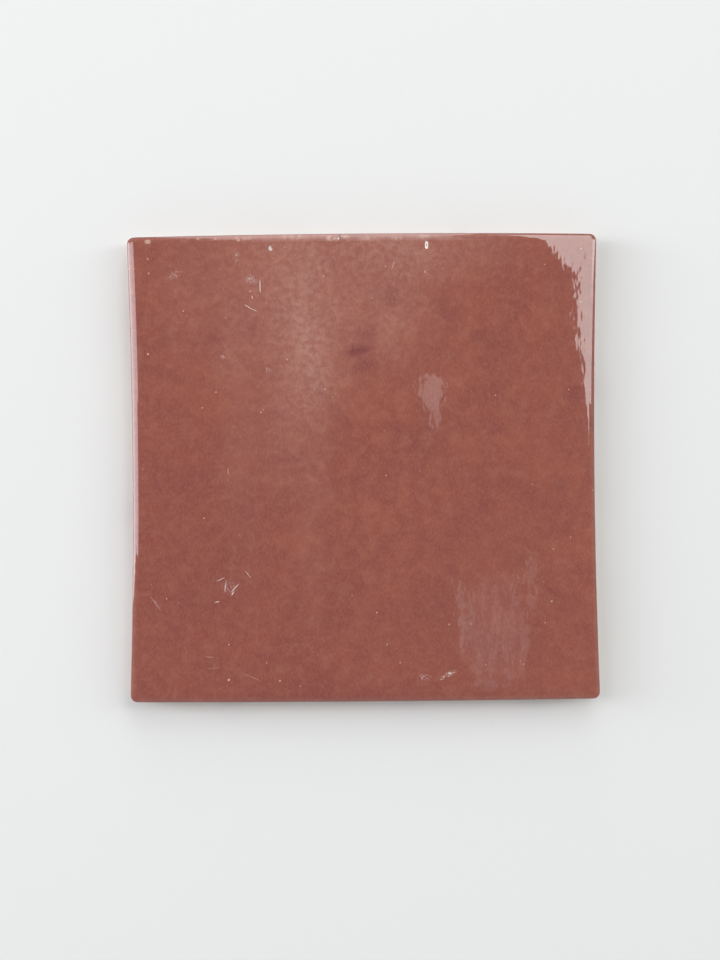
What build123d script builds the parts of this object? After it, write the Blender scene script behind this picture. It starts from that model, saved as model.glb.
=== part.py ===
"""One square glazed ceramic wall tile, pressed and finished by hand, lying on its back with its face up.

Clay and glaze are fired into one piece, so the tile is one solid. The origin is under the middle of the
tile, on the plane of its back. +X runs to the right of the face, +Y up the face and +Z out of it.
"""

import os
from math import hypot, radians, tan

from build123d import *

# Sizes of the tile, in millimetres
face_width = 130.9
face_height = 129.5
thickness = 10.0

# Rolled edge round the face, and the outline's corners, a little larger so that the roll turns them
edge_radius = 2.0
corner_allowance = 0.5
corner_radius = edge_radius + corner_allowance

# Sides lean in towards the back, in degrees, and end in a small round
side_draft = 2.0
back_edge_radius = 0.6

# How far firing has bowed the middle of each side out of a straight line, outwards positive
top_bow = 0.6
right_bow = -1.1
bottom_bow = 0.3
left_bow = -1.2

# Keying grooves across the back, which the bed of adhesive grips
groove_width = 5.0
groove_pitch = 11.0
groove_depth = 0.8
groove_draft = 15.0
rim_width = 9.0

# Swells and hollows of the face: place in half widths and half heights from its middle, reach and rise
face_swells = [
    ((0.94, 1.11), 20.0, -0.22),
    ((1.06, 0.23), 24.0, 0.05),
    ((-0.34, 0.52), 40.0, 0.06),
    ((0.46, -0.64), 32.0, 0.05),
    ((-0.62, -0.46), 36.0, -0.05),
]

# Points each way that the face is drawn through, its spare margin, and the spare height of the blank
face_points = 27
face_margin = 4.0
blank_headroom = 3.0


def outline(inset):
    """The outline of the tile, drawn in by inset: four bowed sides with round corners."""
    half_width = face_width / 2 - inset
    half_height = face_height / 2 - inset
    corners = [
        Vector(-half_width, half_height),
        Vector(half_width, half_height),
        Vector(half_width, -half_height),
        Vector(-half_width, -half_height),
    ]
    bows = [top_bow, right_bow, bottom_bow, left_bow]
    sides = []
    for start, end, bow in zip(corners, corners[1:] + corners[:1], bows):
        outward = (end - start).rotate(Axis.Z, 90).normalized()
        sides.append(ThreePointArc(start, (start + end) / 2 + outward * bow, end))
    sharp = make_face(sides)
    return fillet(sharp.vertices(), corner_radius - inset)


def face_level(x, y):
    """Height of the face above the back, with its swells and hollows."""
    level = thickness
    for (across, up), reach, rise in face_swells:
        distance = hypot(x - across * face_width / 2, y - up * face_height / 2)
        nearness = max(0.0, 1.0 - distance / reach)
        level += rise * nearness**2 * (3.0 - 2.0 * nearness)
    return level


def face_surface():
    """The smooth surface of the face, a little larger than the tile."""
    width = face_width + 2 * face_margin
    height = face_height + 2 * face_margin
    steps = [i / (face_points - 1) - 0.5 for i in range(face_points)]
    rows = []
    for across in steps:
        x = width * across
        rows.append([Vector(x, height * up, face_level(x, height * up)) for up in steps])
    return Face.make_surface_from_array_of_points(rows)


def blank():
    """The drafted block, widest where the rolled edge begins and cut off by the face."""
    lean_in = (thickness - edge_radius) * tan(radians(side_draft))
    block = extrude(outline(lean_in), amount=thickness + blank_headroom, taper=-side_draft)
    return split(block, bisect_by=face_surface(), keep=Keep.BOTTOM)


def grooves():
    """The keying grooves, spread evenly about a land across the middle of the back."""
    length = face_width - 2 * rim_width
    reach = face_height / 2 - rim_width - groove_width / 2
    pairs = int((reach - groove_pitch / 2) // groove_pitch) + 1
    places = GridLocations(0, groove_pitch, 1, 2 * pairs)
    slots = Sketch() + [place * SlotOverall(length, groove_width) for place in places]
    return extrude(slots, amount=groove_depth, taper=groove_draft)


def tile():
    """The finished tile, with the middle of its outline over the origin."""
    body = blank()
    face = body.faces().sort_by(Axis.Z)[-1]
    body = fillet(face.edges(), edge_radius)
    back = body.faces().sort_by(Axis.Z)[0]
    body = fillet(back.edges(), back_edge_radius)
    body -= grooves()
    middle = body.bounding_box().center()
    return Pos(-middle.X, -middle.Y, 0) * body


os.makedirs("parts", exist_ok=True)
export_step(tile(), "parts/glazed_tile.step")
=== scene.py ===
# %% [markdown]
# This lesson makes one glazed wall tile: a square of pale clay, pressed by hand, dipped face down in a
# reddish brown glaze and fired. It lies on its back and the camera looks straight down on its face.
# The imported solid is loaded first. It gives the true size and place, and its box is kept to size the new
# tile and place the camera.

# %% Load the imported tile and keep its box
from math import cos, exp, hypot, pi, radians, sin, tan

import bpy
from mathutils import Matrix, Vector, noise


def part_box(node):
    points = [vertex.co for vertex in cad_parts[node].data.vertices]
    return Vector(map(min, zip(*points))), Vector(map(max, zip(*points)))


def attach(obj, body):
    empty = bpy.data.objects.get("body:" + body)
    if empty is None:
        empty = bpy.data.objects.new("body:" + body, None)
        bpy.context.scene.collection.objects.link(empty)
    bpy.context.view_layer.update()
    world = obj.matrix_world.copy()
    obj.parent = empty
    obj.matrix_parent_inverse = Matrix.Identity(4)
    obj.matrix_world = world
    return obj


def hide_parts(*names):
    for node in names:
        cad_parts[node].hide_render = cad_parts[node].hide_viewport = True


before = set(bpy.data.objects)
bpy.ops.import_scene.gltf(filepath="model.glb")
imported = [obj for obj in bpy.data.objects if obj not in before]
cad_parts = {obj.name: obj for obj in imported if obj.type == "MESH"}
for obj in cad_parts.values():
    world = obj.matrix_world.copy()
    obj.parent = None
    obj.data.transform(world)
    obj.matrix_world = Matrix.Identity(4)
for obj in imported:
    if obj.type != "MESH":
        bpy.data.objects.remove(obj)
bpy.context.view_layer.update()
tile_low, tile_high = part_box("glazed_tile")

MM = 0.001

# %% [markdown]
# The camera comes first, because every reflection on a glossy face depends on where it stands.
# A camera could be placed by eye. Here it is worked out instead: the picture's scale, in pixels for each
# millimetre, gives the lens, and the pixel where the middle of the tile falls gives the place. The tile
# is turned a little in the picture, so the camera is rolled the other way and the tile stays square to
# the frame.

# %% Set the camera above the face
picture_height = 960
picture_middle = Vector((360.0, 480.0))
tile_middle_pixel = Vector((363.45, 467.5))
pixels_per_mm = 3.6
turn_in_picture = radians(0.476)
camera_distance = 0.55
sensor_size = 36.0

bpy.ops.object.select_all(action="DESELECT")
bpy.ops.object.camera_add()
camera = bpy.context.object
camera.name = "camera_above"
camera.data.sensor_fit = "VERTICAL"
camera.data.sensor_height = sensor_size
camera.data.lens = sensor_size * camera_distance / (picture_height / pixels_per_mm * MM)
camera.rotation_euler = (0.0, 0.0, -turn_in_picture)
picture_right = Vector((cos(turn_in_picture), -sin(turn_in_picture), 0.0))
picture_up = Vector((sin(turn_in_picture), cos(turn_in_picture), 0.0))
off_middle = (tile_middle_pixel - picture_middle) / pixels_per_mm * MM
camera.location = picture_up * off_middle.y - picture_right * off_middle.x
camera.location.z = tile_high.z + camera_distance
bpy.context.scene.camera = camera
bpy.context.scene.view_settings.view_transform = "Standard"
print("lens", round(camera.data.lens, 1), "mm, camera at", [round(c, 4) for c in camera.location])

# %% [markdown]
# The floor is one wide pale sheet, so that the tile stands out by its colour alone. The world behind it
# is a smooth grey dome, pale at the sides and dark straight overhead. A flat white dome would be simpler,
# but the face looks straight up and would mirror it everywhere, which greys a deep glaze.

# %% Lay the floor and hang the dome
floor_size = 12.0
floor_colour = (0.668, 0.655, 0.642, 1.0)
floor_roughness = 0.9
floor_specular = 0.1
dome_overhead = (0.15, 0.15, 0.155, 1.0)
dome_sides = (0.58, 0.58, 0.585, 1.0)
dome_pale_below = 0.70
dome_dark_above = 0.97

bpy.ops.mesh.primitive_plane_add(size=floor_size)
floor = bpy.context.object
floor.name = "floor"
floor_finish = bpy.data.materials.new("pale_floor")
floor_finish.use_nodes = True
floor_shader = floor_finish.node_tree.nodes["Principled BSDF"]
floor_shader.inputs["Base Color"].default_value = floor_colour
floor_shader.inputs["Roughness"].default_value = floor_roughness
floor_shader.inputs["Specular IOR Level"].default_value = floor_specular
floor.data.materials.append(floor_finish)

world = bpy.data.worlds.new("studio_dome")
bpy.context.scene.world = world
world.use_nodes = True
dome_nodes = world.node_tree.nodes
dome_links = world.node_tree.links
sky_direction = dome_nodes.new("ShaderNodeTexCoord")
sky_parts = dome_nodes.new("ShaderNodeSeparateXYZ")
sky_ramp = dome_nodes.new("ShaderNodeValToRGB")
sky_ramp.color_ramp.elements[0].color = dome_sides
sky_ramp.color_ramp.elements[0].position = dome_pale_below
sky_ramp.color_ramp.elements[1].color = dome_overhead
sky_ramp.color_ramp.elements[1].position = dome_dark_above
dome_links.new(sky_direction.outputs["Generated"], sky_parts.inputs["Vector"])
dome_links.new(sky_parts.outputs["Z"], sky_ramp.inputs["Fac"])
dome_links.new(sky_ramp.outputs["Color"], dome_nodes["Background"].inputs["Color"])
print("floor", floor_size, "m wide, dome from", dome_sides[0], "to", dome_overhead[0])

# %% [markdown]
# Gloss shows the lamps, so each lamp is placed by what the glaze should mirror. Bright ceiling panels form
# an L that starts just past the upper right corner, so that corner and the right edge carry a pale patch.
# The panels on both sides and beyond the top stand further out, where only the rolled edges see them.
# A lamp's power is its radiance times pi times its area, and the lamps are hidden from the camera, which
# never hides their reflections.

# %% Hang the lamps
daylight = (0.95, 1.0, 1.0)
sky_light = (0.90, 0.94, 1.0)
ceiling = 2.01
DOWN = (0.0, 0.0, -1.0)
TO_RIGHT = (1.0, 0.0, 0.0)
TO_LEFT = (-1.0, 0.0, 0.0)
TO_VIEWER = (0.0, -1.0, 0.0)


def soft_lamp(name, place, facing, size, radiance, colour=daylight, spin=0.0, shape="RECTANGLE"):
    """A flat lamp of that width and height, in metres, which looks along facing."""
    bpy.ops.object.light_add(type="AREA", location=place)
    lamp = bpy.context.object
    lamp.name = name
    lamp.data.color = colour
    lamp.data.shape = shape
    lamp.data.size, lamp.data.size_y = size
    area = size[0] * size[1]
    if shape == "ELLIPSE":
        area *= pi / 4
    lamp.data.energy = radiance * pi * area
    lamp.rotation_euler = Vector(facing).to_track_quat("-Z", "Y").to_euler()
    lamp.rotation_euler.rotate_axis("Z", spin)
    lamp.visible_camera = False


soft_lamp("ceiling_right", (0.922, 0.498, ceiling), DOWN, (1.277, 0.804), 3.9)
soft_lamp("ceiling_tail", (0.505, 0.122, ceiling), DOWN, (0.415, 0.12), 3.9, spin=radians(-9.2))
soft_lamp("ceiling_far", (2.73, 0.59, ceiling), DOWN, (2.40, 0.50), 3.9, spin=radians(9.7))
soft_lamp("ceiling_above", (0.58, 1.95, ceiling), DOWN, (0.60, 2.10), 3.9)
soft_lamp("ceiling_left", (-0.93, 0.40, ceiling), DOWN, (0.54, 1.00), 3.9, sky_light)
soft_lamp("ceiling_near", (-0.57, 0.48, ceiling), DOWN, (0.18, 0.76), 3.3, sky_light)
soft_lamp("left_high", (-1.20, 0.165, 1.50), TO_RIGHT, (0.50, 1.00), 4.4, sky_light)
soft_lamp("left_low", (-1.20, 0.165, 0.51), TO_RIGHT, (0.50, 0.98), 6.2, sky_light)
soft_lamp("right_panel", (1.20, 0.34, 0.95), TO_LEFT, (0.26, 1.70), 2.0)
soft_lamp("top_panel", (-0.04, 1.20, 0.86), TO_VIEWER, (0.30, 1.70), 2.2)
soft_lamp("ceiling_top", (-0.04, 1.10, ceiling), DOWN, (0.36, 0.56), 1.4)
soft_lamp("ceiling_top_near", (0.00, 0.61, ceiling), DOWN, (0.28, 0.42), 0.7)

# %% [markdown]
# The face itself mirrors a few dim things overhead as faint ragged patches. From straight above, a spot of
# the level face mirrors the ceiling further out along the line from the camera's axis, as much further as
# the ceiling is higher than the camera is. So each of these dim cards is listed by the spot and the size
# that it should have on the face, and its place under the ceiling is worked out from that. The large patch
# at the lower right is a dim card with staggered upright strokes in front of it, so that it looks brushed.
# Each card hangs a millimetre below the one before, because lamps in one plane would hide each other.

# %% Hang dim cards that the face mirrors
face_cards = [
    ("middle_card", (18.7, 20.8), (7.2, 10.0), 1.05),
    ("middle_tail", (20.1, 13.4), (3.5, 5.2), 0.95),
    ("middle_trace", (18.0, 7.4), (2.2, 5.5), 0.35),
    ("lower_card", (36.5, -46.5), (21.0, 36.0), 0.17),
    ("lower_stroke_1", (25.6, -37.0), (1.8, 16.0), 0.68),
    ("lower_stroke_2", (27.0, -47.0), (1.8, 14.0), 0.52),
    ("lower_stroke_3", (29.6, -41.0), (2.0, 20.0), 0.38),
    ("lower_stroke_4", (31.6, -54.0), (2.0, 18.0), 0.38),
    ("lower_stroke_5", (33.6, -42.5), (1.8, 22.0), 0.35),
    ("lower_stroke_6", (36.0, -55.0), (2.2, 20.0), 0.38),
    ("lower_stroke_7", (37.6, -43.0), (2.0, 24.0), 0.36),
    ("lower_stroke_8", (40.6, -52.0), (2.0, 24.0), 0.40),
    ("lower_stroke_9", (42.6, -38.0), (1.8, 24.0), 0.38),
    ("lower_stroke_10", (45.4, -51.0), (1.8, 22.0), 0.36),
    ("lower_stroke_11", (47.6, -32.0), (1.8, 18.0), 0.48),
]
throw = (ceiling - tile_high.z) / camera_distance

for i, (name, spot, size, radiance) in enumerate(face_cards):
    on_face = Vector(spot) * MM
    overhead = on_face + throw * (on_face - camera.location.xy)
    card_size = [side * MM * (1 + throw) for side in size]
    soft_lamp(name, (*overhead, ceiling - i * MM), DOWN, card_size, radiance, shape="ELLIPSE")
print("cards hung:", len(face_cards))

# %% [markdown]
# The tile starts as a block of clay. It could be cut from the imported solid, but that is made of long thin
# triangles, which a gloss finish shows as facets. A fresh block with an even grid bends smoothly.
# A cube is stretched to the size of the tile and its back is drawn in a little, so that the sides lean.
# The edges of a sponged face are rolled over further across than down. A bevel makes only a round roll, so
# the block starts too tall, is bevelled, and is then pressed down to its true height, which flattens the
# roll. A narrow border inset in the face keeps the start of the roll crisp. The long edges are cut into
# short lengths last, one direction at a time, to make the grid.

# %% Block out the clay with a rolled edge
corner_loss = 0.17 * MM
top_bow = 0.6 * MM
right_bow = -1.1 * MM
bottom_bow = 0.3 * MM
left_bow = -1.2 * MM
face_width = tile_high.x - tile_low.x + corner_loss
face_height = tile_high.y - tile_low.y - top_bow - bottom_bow
middle_y = (tile_high.y - top_bow + tile_low.y + bottom_bow) / 2
thickness = 10.0 * MM
side_lean = 0.28 * MM
roll_width = 2.0 * MM
roll_depth = 0.9 * MM
roll_steps = 5
roll_border = 0.5 * MM
cells_across = 48
cells_deep = 3
HAIR = 0.01 * MM


def choose(piece, kind, test):
    """Go into edit mode with only those points, edges or faces of the piece selected that pass a test."""
    bpy.context.view_layer.objects.active = piece
    bpy.ops.object.mode_set(mode="EDIT")
    bpy.ops.mesh.select_mode(type=kind)
    bpy.ops.mesh.select_all(action="DESELECT")
    bpy.ops.object.mode_set(mode="OBJECT")
    parts = {"VERT": piece.data.vertices, "EDGE": piece.data.edges, "FACE": piece.data.polygons}[kind]
    for part in parts:
        part.select = test(part)
    bpy.ops.object.mode_set(mode="EDIT")


def runs_along(piece, edge, axis, at_least=0.0):
    """Whether an edge runs along that axis, 0 for X, 1 for Y and 2 for Z, and has at least that length."""
    start, end = (piece.data.vertices[i].co for i in edge.vertices)
    step = end - start
    return step.length > at_least and abs(step[axis]) > 0.9 * step.length


def off_the_back(edge):
    """Whether an edge has an end that isn't on the back."""
    return any(tile.data.vertices[i].co.z > HAIR for i in edge.vertices)


press_down = roll_depth / roll_width
tall = thickness / press_down
bpy.ops.object.select_all(action="DESELECT")
bpy.ops.mesh.primitive_cube_add(size=1.0)
tile = bpy.context.object
tile.name = "fired_tile"
bpy.ops.object.mode_set(mode="EDIT")
bpy.ops.transform.resize(value=(face_width, face_height, tall))
bpy.ops.transform.translate(value=(0.0, middle_y, tall / 2))
choose(tile, "FACE", lambda face: face.center.z < HAIR)
lean_across = 1.0 - 2 * side_lean / face_width
lean_up = 1.0 - 2 * side_lean / face_height
bpy.ops.transform.resize(value=(lean_across, lean_up, 1.0), center_override=(0.0, middle_y, 0.0))
bpy.ops.mesh.delete(type="ONLY_FACE")
choose(tile, "EDGE", off_the_back)
bpy.ops.mesh.bevel(offset=roll_width, segments=roll_steps, affect="EDGES")
bpy.ops.mesh.select_all(action="SELECT")
bpy.ops.transform.resize(value=(1.0, 1.0, press_down), center_override=(0.0, 0.0, 0.0))
choose(tile, "FACE", lambda face: face.center.z > thickness - HAIR)
bpy.ops.mesh.inset(thickness=roll_border)
grid = [(0, face_width, cells_across), (1, face_height, cells_across), (2, thickness, cells_deep)]
for axis, length, cells in grid:
    choose(tile, "EDGE", lambda edge: runs_along(tile, edge, axis, 0.7 * length))
    bpy.ops.mesh.subdivide(number_cuts=cells - 1)
bpy.ops.object.mode_set(mode="OBJECT")
print("the block has", len(tile.data.polygons), "faces and is still open at the back")

# %% [markdown]
# Drying and firing bow the sides of a hand-pressed tile: here the top and bottom swell out a little and
# the left and right draw in. The middle of each side is pushed with proportional editing. The falloff
# called inverse square is a parabola, which is what a bent side follows, and its reach is half the side.

# %% Bow the four sides
side_bows = [
    ((0.0, 1.0), face_height / 2, face_width / 2, top_bow),
    ((1.0, 0.0), face_width / 2, face_height / 2, right_bow),
    ((0.0, -1.0), face_height / 2, face_width / 2, bottom_bow),
    ((-1.0, 0.0), face_width / 2, face_height / 2, left_bow),
]


def in_side_middle(point, outward, reach):
    """Whether a point is in the upright row at the middle of the side that faces outward."""
    place = Vector((point.co.x, point.co.y - middle_y))
    along = abs(place.x * outward.y - place.y * outward.x)
    return along < HAIR and place.dot(outward) > reach - 2 * side_lean


for direction, reach, half_side, bow in side_bows:
    outward = Vector(direction)
    choose(tile, "VERT", lambda point: in_side_middle(point, outward, reach))
    bpy.ops.transform.translate(
        value=(outward.x * bow, outward.y * bow, 0.0),
        use_proportional_edit=True,
        proportional_edit_falloff="INVERSE_SQUARE",
        proportional_size=half_side,
    )
bpy.ops.object.mode_set(mode="OBJECT")
print("bows of the sides, in mm:", [round(bow / MM, 2) for _, _, _, bow in side_bows])

# %% [markdown]
# A pressed face is never quite flat. Each swell or hollow is pulled up or down with a smooth proportional
# falloff by a loose handle point, which can stand anywhere, even past the edge of the tile, and is taken
# away afterwards. The sides are hidden meanwhile, because proportional editing would reach through the
# clay and move them too. The heights are small: two tenths of a millimetre already bend a reflection.

# %% Press the swells and hollows of the face
face_swells = [
    ((61.5, 71.9), 20.0, -0.22),
    ((69.4, 14.9), 24.0, 0.05),
    ((-22.3, 33.7), 40.0, 0.06),
    ((30.1, -41.4), 32.0, 0.05),
    ((-40.6, -29.8), 36.0, -0.05),
]

choose(tile, "FACE", lambda face: face.center.z < thickness - roll_depth - HAIR)
bpy.ops.mesh.hide(unselected=False)
for (across, up), reach, rise in face_swells:
    handle = Vector((across * MM, middle_y + up * MM, thickness))
    bpy.ops.object.mode_set(mode="OBJECT")
    nearest = min(tile.data.vertices, key=lambda point: (point.co - handle).length)
    nearest_index = nearest.index
    to_handle = handle - nearest.co
    choose(tile, "VERT", lambda point: point.index == nearest_index)
    bpy.ops.mesh.duplicate()
    bpy.ops.transform.translate(value=to_handle)
    bpy.ops.transform.translate(
        value=(0.0, 0.0, rise * MM),
        use_proportional_edit=True,
        proportional_edit_falloff="SMOOTH",
        proportional_size=reach * MM,
    )
    bpy.ops.mesh.delete(type="VERT")
bpy.ops.mesh.reveal(select=False)
bpy.ops.object.mode_set(mode="OBJECT")
print("swells pressed:", len(face_swells), "and the block has", len(tile.data.vertices), "points")

# %% [markdown]
# A Subdivision Surface now makes the grid and its rolled edges smooth. The back has to stay flat with a
# crisp edge, so the opening is filled, a narrow border is inset and creased and the middle is taken out
# again. The border is narrower than the corners' radius, or it would fold over itself there. After the
# smoothing one flat face closes the back for good, split into wedges round its middle.

# %% Smooth the block and close the back
back_crease = 0.75
back_border = 1.2 * MM
smooth_levels = 2


def select_opening():
    """Select the edges round the open back, in edit mode."""
    bpy.ops.mesh.select_mode(type="EDGE")
    bpy.ops.mesh.select_all(action="DESELECT")
    bpy.ops.mesh.select_non_manifold()


def on_back_edge(edge):
    """Whether an edge is part of the outline of the back, where the sides begin."""
    ends = [tile.data.vertices[i] for i in edge.vertices]
    return all(end.co.z < HAIR and end.normal.z > -0.9 for end in ends)


bpy.ops.object.mode_set(mode="EDIT")
select_opening()
bpy.ops.mesh.edge_face_add()
bpy.ops.mesh.select_mode(type="FACE")
bpy.ops.mesh.inset(thickness=back_border)
bpy.ops.mesh.delete(type="FACE")
bpy.ops.object.mode_set(mode="OBJECT")
choose(tile, "EDGE", on_back_edge)
bpy.ops.transform.edge_crease(value=back_crease)
bpy.ops.object.mode_set(mode="OBJECT")

smooth = tile.modifiers.new("smooth_clay", "SUBSURF")
smooth.levels = smooth_levels
smooth.render_levels = smooth_levels
bpy.ops.object.modifier_apply(modifier=smooth.name)
bpy.ops.object.mode_set(mode="EDIT")
select_opening()
bpy.ops.mesh.edge_face_add()
bpy.ops.mesh.poke()
bpy.ops.object.mode_set(mode="OBJECT")
print("the smooth tile has", len(tile.data.polygons), "faces")

# %% [markdown]
# The glaze stops part of the way down the sides in a wandering line with a few runs, where the dipped
# coat flowed before it froze. Points below that line are drawn in by the thickness of the coat, so that the
# glaze ends in a lip that can be felt.

# %% Draw the bare clay in below the glaze
glaze_line_level = 4.2
glaze_line_wander = 1.7
broad_bends = 16.0
fine_bends = 4.5
fine_share = 0.45
lowest_glaze = 0.8
run_bluntness = 4
lip_steepness = 1.2
glaze_thickness = 0.22 * MM
glaze_runs = [
    ((-38.0, -65.0), 2.6, 3.6),
    ((12.0, -65.0), 2.0, 2.4),
    ((47.0, -65.0), 3.2, 4.0),
    ((65.0, -30.0), 2.2, 3.0),
    ((65.0, 22.0), 3.0, 3.8),
    ((-65.0, -12.0), 2.4, 3.2),
    ((-65.0, 44.0), 2.8, 2.6),
    ((28.0, 65.0), 2.4, 3.4),
    ((-20.0, 65.0), 3.0, 2.8),
]


def above_glaze_line(point):
    """How far a point of the tile is above the lower end of the glaze, in millimetres."""
    x, y, z = point.co / MM
    broad = noise.noise(Vector((x / broad_bends, y / broad_bends, 3.7)))
    fine = noise.noise(Vector((x / fine_bends, y / fine_bends, 8.1)))
    level = glaze_line_level + glaze_line_wander * (broad + fine_share * fine)
    for (run_x, run_y), half_width, depth in glaze_runs:
        level -= depth * exp(-((hypot(x - run_x, y - run_y) / half_width) ** run_bluntness))
    return z - max(lowest_glaze, level)


bare_group = "bare_clay"
glazed_group = "glazed"
bare = tile.vertex_groups.new(name=bare_group)
glazed = tile.vertex_groups.new(name=glazed_group)
for point in tile.data.vertices:
    above = above_glaze_line(point)
    sideways = 1.0 - abs(point.normal.z)
    bare.add([point.index], sideways * max(0.0, min(1.0, 0.5 - lip_steepness * above)), "REPLACE")
    glazed.add([point.index], max(0.0, min(1.0, above)), "REPLACE")

bpy.context.view_layer.objects.active = tile
draw_in = tile.modifiers.new("coat_thickness", "DISPLACE")
draw_in.vertex_group = bare_group
draw_in.mid_level = 0.0
draw_in.strength = -glaze_thickness
bpy.ops.object.modifier_apply(modifier=draw_in.name)
print("glaze ends about", glaze_line_level, "mm above the back, with", len(glaze_runs), "runs")

# %% [markdown]
# A glazed face also has a fine unevenness that only its reflections show: slow waves from the hand and a
# tight orange peel from the coat settling as it melts. It is at most two hundredths of a millimetre high,
# and without it the edge of a mirrored lamp would be ruler straight. Two Displace modifiers with cloud
# textures raise it in the mesh itself, only where there is glaze.

# %% Raise the fine unevenness of the glaze
glaze_waves = [
    ("hand_waves", 17.0, 0.020),
    ("orange_peel", 2.0, 0.0065),
]

for name, wave_size, wave_height in glaze_waves:
    clouds = bpy.data.textures.new(name, "CLOUDS")
    clouds.noise_scale = wave_size * MM
    clouds.noise_depth = 1
    wave = tile.modifiers.new(name, "DISPLACE")
    wave.texture = clouds
    wave.texture_coords = "LOCAL"
    wave.vertex_group = glazed_group
    wave.mid_level = 0.5
    wave.strength = wave_height * MM
    bpy.ops.object.modifier_apply(modifier=wave.name)
print("waves raised:", [name for name, _, _ in glaze_waves])

# %% [markdown]
# The back is never seen once the tile is up, and it is made to hold: shallow grooves cross it, which
# the bed of adhesive fills. One groove is modelled as a cutter, a box with round ends and leaning walls,
# and its copies are joined and taken away from the tile together with a Boolean.

# %% Cut the keying grooves into the back
groove_length = 112.9 * MM
groove_width = 5.0 * MM
groove_pitch = 11.0 * MM
groove_depth = 0.8 * MM
groove_lean = groove_depth * tan(radians(15.0))
groove_end_radius = 0.499 * groove_width
groove_count = 10
clay_finish = bpy.data.materials.new("bare_clay")
chip_finish = bpy.data.materials.new("chipped_clay")
glaze_finish = bpy.data.materials.new("brown_glaze")
for finish in (glaze_finish, clay_finish, chip_finish):
    tile.data.materials.append(finish)


def cut_away(cutters, finish):
    """Join the cutters, take their shape away from the tile and give the cut faces that finish."""
    bpy.ops.object.select_all(action="DESELECT")
    for cutter in cutters:
        cutter.data.materials.append(finish)
        cutter.select_set(True)
    bpy.context.view_layer.objects.active = cutters[0]
    if len(cutters) > 1:
        bpy.ops.object.join()
    bpy.ops.object.transform_apply()
    bpy.context.view_layer.objects.active = tile
    cut = tile.modifiers.new("cut", "BOOLEAN")
    cut.operation = "DIFFERENCE"
    cut.solver = "EXACT"
    cut.material_mode = "TRANSFER"
    cut.object = cutters[0]
    bpy.ops.object.modifier_apply(modifier=cut.name)
    bpy.data.objects.remove(cutters[0])


bpy.ops.object.select_all(action="DESELECT")
bpy.ops.mesh.primitive_cube_add(size=1.0)
groove = bpy.context.object
groove.name = "groove_cutter"
bpy.ops.object.mode_set(mode="EDIT")
bpy.ops.transform.resize(value=(groove_length, groove_width, 2 * groove_depth))
choose(groove, "EDGE", lambda edge: runs_along(groove, edge, 2))
bpy.ops.mesh.bevel(offset=groove_end_radius, segments=8, affect="EDGES", clamp_overlap=True)
choose(groove, "VERT", lambda point: point.co.z > 0.0)
lean_ends = 1.0 - 2 * groove_lean / groove_length
lean_walls = 1.0 - 2 * groove_lean / groove_width
bpy.ops.transform.resize(value=(lean_ends, lean_walls, 1.0), center_override=(0.0, 0.0, 0.0))
bpy.ops.object.mode_set(mode="OBJECT")
grooves = [groove]
for _ in range(1, groove_count):
    copy = groove.copy()
    copy.data = groove.data.copy()
    bpy.context.scene.collection.objects.link(copy)
    grooves.append(copy)
for i, copy in enumerate(grooves):
    copy.location.y = middle_y + (i - (groove_count - 1) / 2) * groove_pitch
cut_away(grooves, clay_finish)
print("grooves cut:", groove_count, "and the tile has", len(tile.data.polygons), "faces")

# %% [markdown]
# Knocks in the kiln and in the box have left small chips along the upper edge, down to the pale clay, and
# one blister has burst open. They could be painted, but a chip has an edge that catches light. Each chip
# is a small ball, stretched, roughened by moving its points about at random from a fixed seed, and cut
# out of the glaze. The blister is cut with a ring instead, because its middle is still standing. At the end
# the whole tile is shaded smooth, apart from edges sharper than a set angle, such as those of the chips.

# %% Chip the upper edge
chips = [
    ((-25.45, 61.20, 10.05), (0.42, 0.72, 0.35), 1),
    ((-25.10, 60.80, 10.05), (0.30, 0.42, 0.28), 2),
    ((-6.40, 63.70, 9.95), (0.26, 0.30, 0.25), 4),
]
blister = ((18.05, 61.70, 10.02), (0.50, 1.12, 0.60), 3)
chip_roughness = 0.09
ring_radius = 0.63
ring_half_width = 1.0 - ring_radius
sharp_above = radians(38.0)


def chip_away(place, half_sizes, seed):
    """Roughen the cutter that was just made, stretch it, put it in its place in mm and cut it out."""
    cutter = bpy.context.object
    cutter.name = "chip_cutter"
    bpy.ops.object.mode_set(mode="EDIT")
    bpy.ops.transform.vertex_random(offset=chip_roughness, seed=seed)
    bpy.ops.transform.resize(value=[size * MM for size in half_sizes], center_override=(0.0, 0.0, 0.0))
    bpy.ops.transform.translate(value=[part * MM for part in place])
    bpy.ops.object.mode_set(mode="OBJECT")
    cut_away([cutter], chip_finish)


for chip in chips:
    bpy.ops.object.select_all(action="DESELECT")
    bpy.ops.mesh.primitive_ico_sphere_add(subdivisions=2, radius=1.0)
    chip_away(*chip)
bpy.ops.object.select_all(action="DESELECT")
bpy.ops.mesh.primitive_torus_add(
    major_radius=ring_radius,
    minor_radius=ring_half_width,
    major_segments=20,
    minor_segments=8,
)
chip_away(*blister)

bpy.ops.object.select_all(action="DESELECT")
tile.select_set(True)
bpy.context.view_layer.objects.active = tile
bpy.ops.object.shade_smooth_by_angle(angle=sharp_above)
print("chips cut:", len(chips), "and a blister, and the tile has", len(tile.data.polygons), "faces")

# %% [markdown]
# The finish tells glaze from bare clay by a number at each point of the mesh: how far the point is above
# the glaze line. It is worked out only now, because points that a cut adds would start without it.

# %% Mark what is glazed
cover_limit = 2.0
cover_name = "glaze_cover"

heights = [above_glaze_line(point) for point in tile.data.vertices]
cover = tile.data.attributes.new(cover_name, "FLOAT", "POINT")
cover.data.foreach_set("value", [max(-cover_limit, min(cover_limit, height)) for height in heights])
print("glazed points:", sum(height > 0.0 for height in heights), "of", len(heights))

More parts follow.
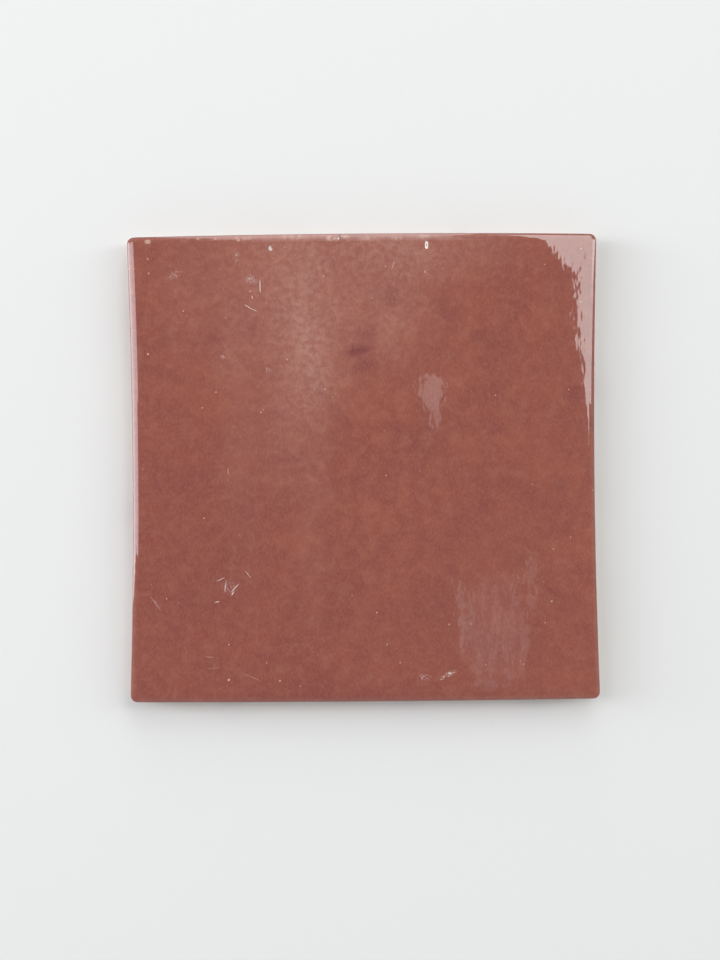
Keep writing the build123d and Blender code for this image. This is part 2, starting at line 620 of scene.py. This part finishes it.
# %% [markdown]
# Three finishes share a few small helpers. Each adds nodes to a finish and hands back the socket to go on
# with, so that the recipe of a finish reads from top to bottom. Patterns are placed in millimetres on the
# tile's own coordinates, so they stay where they are from every side.

# %% Helpers that build up a finish
def new_finish(finish):
    """Give a finish nodes and a shader. Hand back its node tree, shader and place on the tile in mm."""
    finish.use_nodes = True
    tree = finish.node_tree
    shader = tree.nodes["Principled BSDF"]
    place = tree.nodes.new("ShaderNodeTexCoord")
    to_mm = tree.nodes.new("ShaderNodeVectorMath")
    to_mm.operation = "SCALE"
    to_mm.inputs["Scale"].default_value = 1.0 / MM
    tree.links.new(place.outputs["Object"], to_mm.inputs[0])
    return tree, shader, to_mm.outputs["Vector"]


def clouds_of(tree, place, size, detail=3.0, roughness=0.55):
    """Soft cloudy values from 0 to 1, with clouds about size mm across."""
    pattern = tree.nodes.new("ShaderNodeTexNoise")
    pattern.inputs["Scale"].default_value = 1.0 / size
    pattern.inputs["Detail"].default_value = detail
    pattern.inputs["Roughness"].default_value = roughness
    tree.links.new(place, pattern.inputs["Vector"])
    return pattern.outputs["Fac"]


def spread(tree, value, low, high, to_low=0.0, to_high=1.0):
    """Stretch a value smoothly, so that low becomes to_low and high becomes to_high."""
    stretch = tree.nodes.new("ShaderNodeMapRange")
    stretch.interpolation_type = "SMOOTHSTEP"
    stretch.inputs["From Min"].default_value = low
    stretch.inputs["From Max"].default_value = high
    stretch.inputs["To Min"].default_value = to_low
    stretch.inputs["To Max"].default_value = to_high
    tree.links.new(value, stretch.inputs["Value"])
    return stretch.outputs["Result"]


def combine(tree, operation, first, second):
    """One sum of two values. Either may be a plain number."""
    sum_node = tree.nodes.new("ShaderNodeMath")
    sum_node.operation = operation
    for socket, value in zip(sum_node.inputs, (first, second)):
        if isinstance(value, (int, float)):
            socket.default_value = value
        else:
            tree.links.new(value, socket)
    return sum_node.outputs["Value"]


def mix(tree, share, first, second):
    """Blend two colours. The share is of the second, and a colour may be a socket or a plain colour."""
    blend = tree.nodes.new("ShaderNodeMix")
    blend.data_type = "RGBA"
    colour_sockets = [s for s in blend.inputs if s.type == "RGBA"]
    for socket, colour in zip(colour_sockets, (first, second)):
        if isinstance(colour, tuple):
            socket.default_value = (*colour, 1.0)
        else:
            tree.links.new(colour, socket)
    tree.links.new(share, blend.inputs["Factor"])
    return next(s for s in blend.outputs if s.type == "RGBA")


print("helpers for patterns ready")

# %% [markdown]
# Most of what is seen on the face is a mark in a known place: a blotch, a streak, a scratch. Each could be
# painted on an image, but an oval worked out from its middle and its half sizes stays sharp close up. A
# place that is stirred first gives the ovals uneven edges, as glaze that has flowed has.

# %% Helpers that draw marks
any_height = 1000.0


def marks(tree, place, spots, soft, join="MAXIMUM"):
    """Oval marks, the strongest or all added up: middle, half sizes in mm, turn in degrees and strength."""
    together = 0.0
    for middle, half_sizes, turn, strength in spots:
        oval = tree.nodes.new("ShaderNodeMapping")
        oval.vector_type = "TEXTURE"
        oval.inputs["Location"].default_value = (*middle, 0.0)
        oval.inputs["Rotation"].default_value = (0.0, 0.0, radians(turn))
        oval.inputs["Scale"].default_value = (*half_sizes, any_height)
        reach = tree.nodes.new("ShaderNodeVectorMath")
        reach.operation = "LENGTH"
        tree.links.new(place, oval.inputs["Vector"])
        tree.links.new(oval.outputs["Vector"], reach.inputs[0])
        inside = spread(tree, reach.outputs["Value"], 1.0, 1.0 - soft, 0.0, strength)
        together = combine(tree, join, together, inside)
    return together


def specks(tree, place, spacing, radius):
    """Scattered dots of up to that radius in mm, of random strength."""
    scatter = tree.nodes.new("ShaderNodeTexVoronoi")
    scatter.inputs["Scale"].default_value = 1.0 / spacing
    tree.links.new(place, scatter.inputs["Vector"])
    dots = spread(tree, scatter.outputs["Distance"], radius / spacing, 0.45 * radius / spacing)
    strength = tree.nodes.new("ShaderNodeSeparateColor")
    tree.links.new(scatter.outputs["Color"], strength.inputs["Color"])
    return combine(tree, "MULTIPLY", dots, spread(tree, strength.outputs["Red"], 0.40, 1.0))


def stir(tree, place, size, amount):
    """Push the place about by up to that many mm, so that what is drawn on it has uneven edges."""
    swirl = tree.nodes.new("ShaderNodeTexNoise")
    swirl.inputs["Scale"].default_value = 1.0 / size
    swirl.inputs["Detail"].default_value = 3.0
    centred = tree.nodes.new("ShaderNodeVectorMath")
    centred.operation = "SUBTRACT"
    centred.inputs[1].default_value = (0.5, 0.5, 0.5)
    scaled = tree.nodes.new("ShaderNodeVectorMath")
    scaled.operation = "SCALE"
    scaled.inputs["Scale"].default_value = 2.0 * amount
    moved = tree.nodes.new("ShaderNodeVectorMath")
    moved.operation = "ADD"
    tree.links.new(place, swirl.inputs["Vector"])
    tree.links.new(swirl.outputs["Color"], centred.inputs[0])
    tree.links.new(centred.outputs["Vector"], scaled.inputs[0])
    tree.links.new(place, moved.inputs[0])
    tree.links.new(scaled.outputs["Vector"], moved.inputs[1])
    return moved.outputs["Vector"]


def relief(tree, shader, height):
    """Give the shader a fine relief from a height in mm."""
    bump = tree.nodes.new("ShaderNodeBump")
    bump.inputs["Strength"].default_value = 1.0
    bump.inputs["Distance"].default_value = MM
    tree.links.new(height, bump.inputs["Height"])
    tree.links.new(bump.outputs["Normal"], shader.inputs["Normal"])


print("helpers for marks ready")

# %% [markdown]
# Bare fired clay is pale buff and dry, with a fine grain, small pores and a slight flush where the kiln
# was hotter. One recipe serves the back, the grooves and the lower sides, and in whiter colours the
# fresh breaks inside the chips.

# %% The bare clay
clay_colours = ((0.66, 0.53, 0.41), (0.58, 0.40, 0.29), (0.30, 0.21, 0.15))
fresh_break_colours = ((0.78, 0.69, 0.65), (0.47, 0.38, 0.35), (0.30, 0.22, 0.20))
clay_roughness = 0.88
clay_specular = 0.25
clay_lumps = 0.10
clay_pits = 0.05


def clay_recipe(tree, place, colours):
    """Colour and height in mm of bare clay, from the colours of its body, its flush and its pores."""
    body, flushed, pored = colours
    flush = spread(tree, clouds_of(tree, place, 22.0), 0.40, 0.70, 0.0, 0.7)
    grain = spread(tree, clouds_of(tree, place, 0.9, detail=5.0, roughness=0.7), 0.52, 0.78, 0.0, 0.55)
    pores = spread(tree, clouds_of(tree, place, 0.35, detail=2.0), 0.70, 0.80)
    colour = mix(tree, flush, body, flushed)
    colour = mix(tree, grain, colour, flushed)
    colour = mix(tree, pores, colour, pored)
    lumps = combine(tree, "MULTIPLY", clouds_of(tree, place, 1.4, detail=6.0, roughness=0.7), clay_lumps)
    pits = combine(tree, "MULTIPLY", pores, clay_pits)
    return colour, combine(tree, "SUBTRACT", lumps, pits)


def make_clay(finish, colours):
    """A finish of bare clay in those colours."""
    tree, shader, place = new_finish(finish)
    colour, height = clay_recipe(tree, place, colours)
    tree.links.new(colour, shader.inputs["Base Color"])
    shader.inputs["Roughness"].default_value = clay_roughness
    shader.inputs["Specular IOR Level"].default_value = clay_specular
    relief(tree, shader, height)


make_clay(clay_finish, clay_colours)
make_clay(chip_finish, fresh_break_colours)
print("clay finishes:", clay_finish.name, chip_finish.name)

# %% [markdown]
# The glaze is a glassy reddish brown with depth. Its colour wanders in soft clouds from plum to tan, a pale
# painted sheen hangs over the upper half and runs down in upright streaks, where the glaze is also hazy, and
# a few plum blotches stand out. The lower half is a little darker, and a band along the bottom edge is
# painted shade.
# A fine upright grain, stronger in the painted sheen, lies over it all.

# %% The ground colour of the glaze
glaze_brown = (0.258, 0.0727, 0.0488)
glaze_plum = (0.174, 0.0449, 0.0400)
glaze_tan = (0.329, 0.126, 0.0815)
# painted sheen: this pale colour, laid in by the haze streaks, stands in for a soft reflection
painted_sheen_colour = (0.429, 0.217, 0.174)
upright_stretch = (1.0, 0.45, 1.0)
plum_blotches = [
    ((-1.6, 32.3), (6.0, 3.4), 18.0, 1.00),
    ((0.9, 28.6), (6.4, 4.2), 0.0, 0.60),
    ((1.6, 37.0), (6.0, 3.6), 0.0, 0.30),
    ((7.7, 47.2), (4.0, 4.6), 0.0, 0.40),
    ((59.0, 20.2), (4.0, 5.0), 20.0, 0.50),
    ((23.0, 44.1), (6.0, 3.2), -15.0, 0.35),
    ((55.1, -5.3), (2.6, 4.4), 10.0, 0.35),
    ((52.0, -35.0), (2.4, 3.0), 0.0, 0.45),
    ((-2.3, -2.9), (4.2, 3.0), 0.0, 0.25),
    ((7.5, -46.7), (7.0, 2.4), 8.0, 0.25),
    ((-45.8, 12.2), (2.6, 3.6), 0.0, 0.25),
    ((-40.9, 37.1), (3.4, 4.6), 0.0, 0.30),
    ((-30.6, 38.2), (2.6, 5.0), -8.0, 0.25),
    ((38.0, 10.1), (6.5, 3.0), -20.0, 0.25),
    ((32.7, 36.5), (4.5, 2.0), 0.0, 0.35),
]
# Broad darker areas of the lower half. The last one, a band along the bottom edge, is painted shade.
darker_areas_and_painted_shade = [
    ((-44.0, -34.0), (34.0, 44.0), 0.0, 0.16),
    ((36.0, -14.0), (28.0, 28.0), 0.0, 0.20),
    ((-53.0, -8.0), (18.0, 60.0), 0.0, 0.24),
    ((22.0, -36.0), (48.0, 34.0), 0.0, 0.15),
    ((0.0, -66.0), (84.0, 12.0), 0.0, 0.34),
]
# The haze streaks paint a pale sheen into the colour, and they also make the glaze rougher there.
painted_sheen_streaks = [
    ((-16.0, 57.0), (52.0, 50.0), 0.0, 0.22),
    ((-17.5, 42.0), (18.0, 38.0), 0.0, 0.12),
    ((-11.5, 27.0), (16.0, 25.0), 0.0, 0.15),
    ((20.0, 62.0), (38.0, 15.0), 0.0, 0.19),
    ((9.0, 37.0), (11.0, 12.0), 0.0, 0.10),
    ((11.0, 48.0), (22.0, 24.0), 0.0, 0.09),
    ((-38.0, 29.0), (5.5, 17.0), 0.0, 0.08),
    ((-14.5, 10.0), (7.5, 74.0), 0.0, 0.11),
    ((-23.0, 12.0), (9.0, 32.0), 0.0, 0.14),
    ((-33.5, 8.0), (8.0, 60.0), 0.0, 0.09),
    ((-51.0, 44.0), (9.0, 34.0), 0.0, 0.04),
]

tree, shader, place = new_finish(glaze_finish)
stirred = stir(tree, place, 6.0, 2.0)
slow_clouds = clouds_of(tree, place, 26.0, detail=2.0)
colour = mix(tree, spread(tree, slow_clouds, 0.70, 0.28, 0.0, 0.30), glaze_brown, glaze_plum)
plum_clouds = clouds_of(tree, stirred, 6.0, detail=5.0, roughness=0.68)
colour = mix(tree, spread(tree, plum_clouds, 0.66, 0.24, 0.0, 0.45), colour, glaze_plum)
tan_clouds = clouds_of(tree, stirred, 3.2, detail=4.0, roughness=0.65)
colour = mix(tree, spread(tree, tan_clouds, 0.42, 0.80, 0.0, 0.45), colour, glaze_tan)

# Paint the pale sheen of the haze into the colour.
haze_and_painted_sheen = marks(tree, stir(tree, place, 16.0, 6.0), painted_sheen_streaks, 1.0, join="ADD")
haze_and_painted_sheen = combine(tree, "MULTIPLY", haze_and_painted_sheen, spread(tree, clouds_of(tree, place, 1.6), 0.30, 0.70, 0.70, 1.30))
colour = mix(tree, haze_and_painted_sheen, colour, painted_sheen_colour)
# The blotches and the darker areas are painted together, with painted shade along the bottom edge.
blotches_and_shade = marks(tree, stir(tree, place, 3.5, 2.2), plum_blotches + darker_areas_and_painted_shade, 0.9)
colour = mix(tree, blotches_and_shade, colour, glaze_plum)
upright = tree.nodes.new("ShaderNodeVectorMath")
upright.operation = "MULTIPLY"
upright.inputs[1].default_value = upright_stretch
tree.links.new(place, upright.inputs[0])
grain = clouds_of(tree, upright.outputs["Vector"], 0.42, detail=2.0, roughness=0.6)
grain_share = spread(tree, haze_and_painted_sheen, 0.0, 0.5, 0.13, 0.30)
grain_share = combine(tree, "MULTIPLY", spread(tree, grain, 0.42, 0.72), grain_share)
colour = mix(tree, grain_share, colour, painted_sheen_colour)
print("blotches_and_shade", len(plum_blotches), "shades", len(darker_areas_and_painted_shade), "streaks of haze", len(painted_sheen_streaks))

# %% [markdown]
# Tiny pinholes and the thin glaze on the upper edge show pale, and handling has left a crack, fine
# scratches and scuffs. The crack is not cut into the mesh, and its dark line is painted shade. Each of these
# is a mask, and they follow one another in the order in which the real marks came. Lines and scuffs are
# broken up by small clouds, because nothing rubs a wavy glaze evenly.

# %% Pinholes, wear and scratches
speck_pale = (0.58, 0.39, 0.31)
scratch_pale = (0.74, 0.62, 0.58)
# The crack has no cut. Its near black colour is painted shade, such as a narrow slit would hold.
painted_crack_shade = (0.090, 0.030, 0.026)
scratches = [
    ((-28.3, 50.6), (0.11, 2.2), 2.0, 1.00),
    ((-30.5, 47.6), (0.12, 0.6), 20.0, 0.70),
    ((-31.7, 44.9), (1.5, 0.09), -32.0, 0.75),
    ((-30.3, 44.1), (1.6, 0.08), -28.0, 0.65),
    ((-37.6, -0.7), (0.08, 1.1), 0.0, 0.55),
    ((8.7, 56.2), (0.07, 1.8), -18.0, 0.50),
    ((-40.0, -30.8), (1.5, 0.10), 25.0, 0.65),
    ((-38.6, -32.6), (0.14, 2.0), -8.0, 0.60),
    ((-36.0, -33.2), (2.0, 0.12), 48.0, 0.75),
    ((-36.6, -34.7), (0.8, 0.16), 60.0, 0.85),
    ((-32.3, -29.4), (1.6, 0.10), -52.0, 0.55),
    ((-41.0, -37.0), (0.8, 0.12), 12.0, 0.80),
    ((-58.5, -36.5), (1.8, 0.06), -48.0, 0.40),
    ((-57.9, -37.4), (1.9, 0.06), -48.0, 0.40),
    ((-57.4, -38.3), (1.6, 0.06), -48.0, 0.35),
    ((-43.1, -52.3), (1.5, 0.07), -3.0, 0.40),
    ((-42.0, -55.4), (2.2, 0.06), 5.0, 0.30),
    ((-31.4, -58.0), (3.4, 0.07), -24.0, 0.30),
]
scuffs = [
    ((-30.8, 52.4), (2.2, 1.8), 0.0, 0.55),
    ((-52.0, 54.0), (3.0, 1.4), 25.0, 0.35),
    ((-34.8, 58.6), (0.9, 2.2), -12.0, 0.35),
    ((23.6, -57.4), (2.4, 1.0), 20.0, 0.85),
    ((21.6, -58.6), (1.4, 0.6), 30.0, 0.70),
    ((16.6, -58.4), (2.4, 1.1), -8.0, 0.45),
    ((-37.6, -33.0), (2.6, 2.4), 0.0, 0.35),
    ((-38.8, 31.0), (1.1, 1.0), 0.0, 0.45),
    ((-26.4, 27.4), (1.5, 1.0), -30.0, 0.35),
]
pinholes = [
    ((-37.9, -58.7), (0.42, 0.36), 30.0, 0.95),
    ((-23.7, -59.1), (0.34, 0.30), 0.0, 0.75),
    ((-59.6, 32.0), (0.36, 0.34), 0.0, 0.80),
    ((-28.4, 15.6), (0.26, 0.26), 0.0, 0.70),
    ((-49.7, 43.9), (0.26, 0.24), 0.0, 0.80),
    ((-34.2, 63.4), (0.60, 0.28), 4.0, 0.70),
    ((-59.4, 63.2), (1.10, 0.80), -10.0, 0.60),
    ((-45.5, 63.9), (0.60, 0.32), 0.0, 0.50),
    ((-40.6, 63.9), (0.60, 0.32), 0.0, 0.45),
    ((17.6, 54.2), (0.28, 0.40), 0.0, 0.60),
    ((44.0, -55.0), (0.26, 0.26), 0.0, 0.60),
    ((52.0, -37.6), (0.36, 0.26), 0.0, 0.70),
    ((52.6, -23.0), (0.26, 0.26), 0.0, 0.50),
    ((-59.5, 58.4), (0.45, 0.42), 0.0, 0.35),
    ((-59.2, 54.4), (0.45, 0.40), 0.0, 0.35),
]
thin_glaze = [
    ((-8.2, 63.9), (3.0, 1.3), 0.0, 0.70),
    ((-4.6, 64.2), (1.9, 1.0), 0.0, 0.50),
    ((1.5, 63.6), (3.6, 0.9), 0.0, 0.40),
    ((9.8, 63.6), (2.2, 1.1), 0.0, 0.50),
    ((17.0, 64.2), (4.5, 0.9), 0.0, 0.35),
    ((-19.0, 64.2), (5.0, 0.9), 0.0, 0.35),
    ((-33.0, 63.8), (4.5, 0.9), 0.0, 0.30),
]
# The crack: a thin line of painted shade.
crack_shade_marks = [
    ((-6.00, 64.1), (0.25, 1.05), 6.0, 1.00),
]

dots = combine(tree, "MAXIMUM", specks(tree, place, 3.4, 0.24), marks(tree, place, pinholes, 0.5))
colour = mix(tree, dots, colour, speck_pale)
worn = spread(tree, clouds_of(tree, place, 1.1, detail=3.0), 0.34, 0.62)
worn = combine(tree, "MULTIPLY", marks(tree, stir(tree, place, 1.6, 0.9), thin_glaze, 0.9), worn)
colour = mix(tree, worn, colour, speck_pale)
# Paint the crack's shade into the colour.
colour = mix(tree, marks(tree, place, crack_shade_marks, 0.5), colour, painted_crack_shade)
broken = spread(tree, clouds_of(tree, place, 0.6, detail=2.0), 0.20, 0.42)
fine_lines = combine(tree, "MULTIPLY", marks(tree, stir(tree, place, 0.9, 0.12), scratches, 0.4), broken)
rubbed = spread(tree, clouds_of(tree, stir(tree, place, 0.8, 0.3), 0.42, detail=3.0), 0.46, 0.64)
rubbed = combine(tree, "MULTIPLY", marks(tree, stir(tree, place, 1.5, 0.5), scuffs, 0.9), rubbed)
scratched = combine(tree, "MAXIMUM", fine_lines, rubbed)
colour = mix(tree, scratched, colour, scratch_pale)
print("scratches", len(scratches), "scuffs", len(scuffs), "pinholes", len(pinholes))

# %% [markdown]
# Below the glaze line the same finish turns to bare clay. The glaze is nearly a mirror, but duller where it
# is hazy and where it is scratched. Its index of refraction is set higher than that of window glass,
# so that it mirrors a little more. A last trace of orange peel, too fine for the mesh, is a bump.

# %% Gloss, relief and the bare sides
glaze_roughness = 0.02
haze_roughness = 0.26
scratch_roughness = 0.5
glaze_refraction = 1.7
peel_size = 0.9
peel_height = 0.0016

clay_colour, clay_height = clay_recipe(tree, place, clay_colours)
cover_value = tree.nodes.new("ShaderNodeAttribute")
cover_value.attribute_name = cover_name
glassy = spread(tree, cover_value.outputs["Fac"], -0.06, 0.06)
colour = mix(tree, glassy, clay_colour, colour)
tree.links.new(colour, shader.inputs["Base Color"])

gloss = spread(tree, glassy, 0.0, 1.0, clay_roughness, glaze_roughness)
gloss = combine(tree, "MAXIMUM", gloss, spread(tree, haze_and_painted_sheen, 0.08, 0.60, 0.0, haze_roughness))
gloss = combine(tree, "MAXIMUM", gloss, combine(tree, "MULTIPLY", scratched, scratch_roughness))
tree.links.new(gloss, shader.inputs["Roughness"])
shader.inputs["IOR"].default_value = glaze_refraction
peel = clouds_of(tree, upright.outputs["Vector"], peel_size, detail=0.0)
peel = combine(tree, "MULTIPLY", peel, peel_height)
bare_share = combine(tree, "SUBTRACT", 1.0, glassy)
height = combine(tree, "ADD", peel, combine(tree, "MULTIPLY", clay_height, bare_share))
relief(tree, shader, height)
print("the glaze has", len(tree.nodes), "nodes")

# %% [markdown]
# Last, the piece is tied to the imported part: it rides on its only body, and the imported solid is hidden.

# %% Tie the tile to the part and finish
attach(tile, "root")
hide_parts("glazed_tile")
